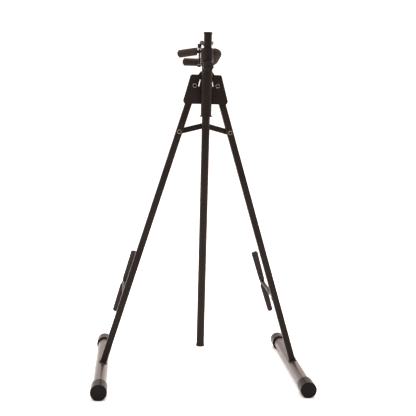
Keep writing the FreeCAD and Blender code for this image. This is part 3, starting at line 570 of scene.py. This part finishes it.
# %% [markdown]
# ## Weld beads
# The steel pieces are joined by MIG welds and then painted over. A bead is a thin ridge with a
# ripple about every millimetre, where each drop of metal froze. The tree sweeps a circle along
# the joint's line and lets its radius rise and fall as a sine of the length.

# %% Build the weld tree
weld = Maker("weld bead", {"Width": 0.0026, "Ripple": 0.0011})
seam = weld.add("GeometryNodeMeshToCurve", Mesh=weld.given["Geometry"])
steps = weld.add("GeometryNodeResampleCurve", {"mode": "LENGTH"}, Curve=seam.outputs[0], Length=0.00022)
travelled = weld.add("GeometryNodeSplineParameter").outputs["Length"]
phase = weld.sum("MULTIPLY", weld.sum("DIVIDE", travelled, weld.given["Ripple"]), math.tau)
swell = weld.sum("MULTIPLY_ADD", weld.sum("SINE", phase), 0.09, 0.5)
bead_ring = weld.add("GeometryNodeCurvePrimitiveCircle", Resolution=12, Radius=1.0)
bead = weld.add("GeometryNodeCurveToMesh", Curve=steps.outputs[0], Profile_Curve=bead_ring.outputs[0],
                Scale=weld.sum("MULTIPLY", weld.given["Width"], swell), Fill_Caps=True)
weld.close(bead.outputs[0])
print("weld tree has", len(weld.tree.nodes), "nodes")

# %% Find the joints that are welded
leg_box_low, leg_box_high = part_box("left_leg_tube")
leg_depth = (leg_box_high.y - leg_box_low.y) / 2
tube_low, tube_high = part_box("right_foot_tube")
foot_centre = (tube_low + tube_high) / 2
foot_radius = (tube_high.z - tube_low.z) / 2
leg_y = (leg_box_low.y + leg_box_high.y) / 2


def saddle_line(side_sign, count=96):
    """The closed line where a square leg meets its round foot tube."""
    line = []
    upwards = Vector((-side_sign * math.sin(leg_lean), 0, math.cos(leg_lean)))
    outwards = Vector((math.cos(leg_lean), 0, side_sign * math.sin(leg_lean)))
    axis_point = Vector((side_sign * foot_centre.x, leg_y, foot_centre.z))
    outline = leg_depth + 0.3 * MM
    for i in range(count):
        angle = math.tau * (i + 0.5) / count
        c, s = math.cos(angle), math.sin(angle)
        reach = outline / max(abs(c), abs(s))
        a = max(-outline, min(outline, reach * c))
        b = max(-outline, min(outline, reach * s))
        climb = math.sqrt(foot_radius ** 2 - a ** 2) + 0.2 * MM
        line.append(axis_point + outwards * a + FORWARD * b + upwards * climb)
    return line


def ring_line(centre, radius, axis_u, axis_v, count=48):
    """A closed circle about a centre, in the plane of two directions."""
    angles = [math.tau * i / count for i in range(count)]
    return [centre + axis_u * (radius * math.cos(a)) + axis_v * (radius * math.sin(a)) for a in angles]


print("leg half width %.1f mm, foot radius %.1f mm" % (leg_depth / MM, foot_radius / MM))

# %% Weld the legs to the feet and the bosses to the legs
BOSS_WELD_RADIUS = 8.2 * MM
BOSS_WELD_LIFT = 0.4 * MM
for name, side_sign in (("left", -1), ("right", 1)):
    foot_weld = weld.make(name + "_foot_weld", saddle_line(side_sign), black_powder, closed=True)
    seated(foot_weld, name + "_leg")
    boss_low, boss_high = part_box(name + "_arm_boss")
    middle = (boss_low + boss_high) / 2
    foot_of_boss = Vector((middle.x, boss_low.y + BOSS_WELD_LIFT, middle.z))
    boss_ring = ring_line(foot_of_boss, BOSS_WELD_RADIUS, ACROSS, UP)
    boss_weld = weld.make(name + "_boss_weld", boss_ring, black_powder, closed=True, Width=1.8 * MM)
    seated(boss_weld, name + "_leg")

# %% Weld the sleeve, its boss and the yoke channel
plate_low, plate_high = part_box("rear_plate")
sleeve_low, sleeve_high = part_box("guide_sleeve")
collar_low, collar_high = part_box("yoke_collar")
WELD_APART = 5.4 * MM
WELD_DEPTH = 0.9 * MM
WELD_INSET = 1.5 * MM


def upright_weld(name, x, low, high, seam_y, body):
    """A bead that stops a little short of both ends of an upright seam."""
    top = Vector((x, seam_y, high.z - WELD_INSET))
    foot = Vector((x, seam_y, low.z + WELD_INSET))
    seated(weld.make(name, [top, foot], black_powder), body)


for label, sign in (("left", -1), ("right", 1)):
    x = sign * WELD_APART
    upright_weld("sleeve_weld_" + label, x, plate_low, plate_high, plate_low.y - WELD_DEPTH, "head")
    upright_weld("channel_weld_" + label, x, collar_low, collar_high, collar_high.y - WELD_DEPTH, "mast")


def boss_seam(count=48):
    """The line where the round boss meets the round sleeve."""
    boss_low, boss_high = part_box("screw_boss")
    radius, sleeve_radius = (boss_high.x - boss_low.x) / 2, (sleeve_high.x - sleeve_low.x) / 2
    axis_y, axis_z = (sleeve_low.y + sleeve_high.y) / 2, (boss_low.z + boss_high.z) / 2
    line = []
    for i in range(count):
        angle = math.tau * i / count
        x, z = radius * math.cos(angle), radius * math.sin(angle)
        line.append(Vector((x, axis_y - math.sqrt(sleeve_radius ** 2 - x ** 2), axis_z + z)))
    return line


seam_weld = weld.make("boss_seam_weld", boss_seam(), black_powder, closed=True, Width=1.9 * MM)
seated(seam_weld, "head")

# %% [markdown]
# ## Rolled rivet rims
# A tubular rivet is closed by rolling its end outwards, which leaves a rounded bright ring
# round a dark hole. One tree places such a ring at every point it is given: a small circle
# swept round a larger one. The points are the middles of the rivet heads, one set per body.

# %% Build the rim tree and place the rims
rim = Maker("rolled rim", {"Ring Radius": 0.0043, "Roll": 0.00105})
big = rim.add("GeometryNodeCurvePrimitiveCircle", Resolution=48, Radius=rim.given["Ring Radius"])
small = rim.add("GeometryNodeCurvePrimitiveCircle", Resolution=14, Radius=rim.given["Roll"])
roll = rim.add("GeometryNodeCurveToMesh", Curve=big.outputs[0], Profile_Curve=small.outputs[0])
spots = rim.add("GeometryNodeMeshToPoints", Mesh=rim.given["Geometry"])
upright = rim.add("GeometryNodeInstanceOnPoints", Points=spots.outputs[0], Instance=roll.outputs[0],
                  Rotation=(math.pi / 2, 0, 0))
rim.close(upright.outputs[0])


def roll_rims(name, node, pivots, body):
    """Rims on the rear ends of a node's rivets, which turn about the pivots."""
    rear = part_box(node)[0].y + 1.0 * MM
    points = [Vector((pivot.x, rear, pivot.z)) for pivot in pivots]
    seated(rim.make(name, points, zinc_plate, lines=False), body)


pivot_pair = [joint_place("left_leg_fold"), joint_place("right_leg_fold")]
roll_rims("pivot_rims", "pivot_rivets", pivot_pair, "head")
for name in ("left", "right"):
    pivot = joint_place(name + "_spreader_fold")
    roll_rims(name + "_spreader_rims", name + "_link_rivet", [pivot], name + "_leg")

# %% [markdown]
# ## Screw thread
# The clamp bolt ends in a few turns of thread above the wing nut. A thread is a small ridge on
# a helix, so the tree makes a spiral curve and sweeps a triangle along it.

# %% Build the thread
thread = Maker("screw thread", {"Shank Radius": 0.0025, "Height": 0.005, "Turns": 6.0})
helix = thread.add("GeometryNodeCurveSpiral", Resolution=28, Rotations=thread.given["Turns"],
                   Start_Radius=thread.given["Shank Radius"], End_Radius=thread.given["Shank Radius"],
                   Height=thread.given["Height"])
ridge = thread.add("GeometryNodeCurvePrimitiveCircle", Resolution=3, Radius=0.00036)
turns = thread.add("GeometryNodeCurveToMesh", Curve=helix.outputs[0],
                   Profile_Curve=ridge.outputs[0], Fill_Caps=True)
on_bolt = thread.add("GeometryNodeInstanceOnPoints", Points=thread.given["Geometry"],
                     Instance=turns.outputs[0])
thread.close(on_bolt.outputs[0])
THREAD_LENGTH, PLAIN_TIP = 4.8 * MM, 0.6 * MM
bolt_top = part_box("clamp_bolt")[1].z
bolt_axis = joint_place("wing_nut_turn")
thread_foot = Vector((bolt_axis.x, bolt_axis.y, bolt_top - THREAD_LENGTH - PLAIN_TIP))
bolt_thread = thread.make("bolt_thread", [thread_foot], zinc_plate, lines=False, Height=THREAD_LENGTH)
seated(bolt_thread, "mast")

# %% [markdown]
# ## Floor, room and lights
# The stand is shown in a bright room on a pale floor. Black paint shows only what it mirrors,
# so the room matters more than the lamps: a bright, slightly warm wall ahead of the stand and
# a large soft lamp above it put the pale sheen on the feet, and a dimmer room behind the viewer
# keeps the faces that look at the viewer dark. A very soft light from straight above washes
# the floor evenly as far as the eye sees.

# %% Lay the floor
floor_mesh = bpy.data.meshes.new("floor")
FLOOR_HALF = 14.0
corners = [(x * FLOOR_HALF, y * FLOOR_HALF, 0) for x, y in ((-1, -1), (1, -1), (1, 1), (-1, 1))]
floor_mesh.from_pydata(corners, [], [(0, 1, 2, 3)])
floor = bpy.data.objects.new("floor", floor_mesh)
bpy.context.scene.collection.objects.link(floor)
paper = Finish("pale floor")
cloud = paper.spread(paper.grain(2.5, 3), 0, 1)
paper.colour(paper.blend(cloud, (0.93, 0.925, 0.925), (0.95, 0.945, 0.945)))
paper.roughness(paper.spread(paper.grain(6, 2), 0.7, 0.85))
paper.settings(Specular_IOR_Level=0.1)
floor.data.materials.append(paper.material)
floor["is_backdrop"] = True

# %% Light the room
room = bpy.data.worlds.new("room")
bpy.context.scene.world = room
room.use_nodes = True
air = room.node_tree
coords = air.nodes.new("ShaderNodeTexCoord")
split = air.nodes.new("ShaderNodeSeparateXYZ")
ahead = air.nodes.new("ShaderNodeMapRange")
ahead.interpolation_type = "SMOOTHSTEP"
for socket, number in (("From Min", -0.5), ("From Max", 0.3), ("To Min", 0.3), ("To Max", 1.5)):
    ahead.inputs[socket].default_value = number
background = air.nodes["Background"]
background.inputs["Color"].default_value = (1.0, 0.85, 0.79, 1)
air.links.new(coords.outputs["Generated"], split.inputs[0])
air.links.new(split.outputs["Y"], ahead.inputs["Value"])
air.links.new(ahead.outputs[0], background.inputs["Strength"])


def add_lamp(name, kind, power, colour):
    data = bpy.data.lights.new(name, kind)
    data.energy = power
    data.color = colour
    lamp = bpy.data.objects.new(name, data)
    bpy.context.scene.collection.objects.link(lamp)
    return lamp


def soft_lamp(name, place, target, width, height, power):
    lamp = add_lamp(name, "AREA", power, (1.0, 0.97, 0.955))
    lamp.data.shape = "RECTANGLE"
    lamp.data.size = width
    lamp.data.size_y = height
    lamp.location = place
    lamp.rotation_euler = (Vector(target) - Vector(place)).to_track_quat("-Z", "Y").to_euler()


soft_lamp("overhead", (0.0, 0.7, 2.6), (0, 0, 0.3), 2.6, 2.0, 60)
soft_lamp("front_fill", (-1.6, -2.2, 1.8), (0, 0, 0.45), 1.4, 1.4, 5)
floor_wash = add_lamp("floor_wash", "SUN", 2.6, (1.0, 0.985, 0.98))
floor_wash.data.angle = math.radians(120)
bpy.context.scene.view_settings.view_transform = "Standard"

# %% [markdown]
# ## Measure and finish
# The dressed model must keep the size of the engineering model, so both boxes are gathered
# side by side and the dressed box is printed.

# %% Gather the sizes and print the box
low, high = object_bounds()
sizes = {"cad": [list(cad_low), list(cad_high)], "visual": [list(low), list(high)]}
print("box", [round(v, 4) for v in low], [round(v, 4) for v in high])
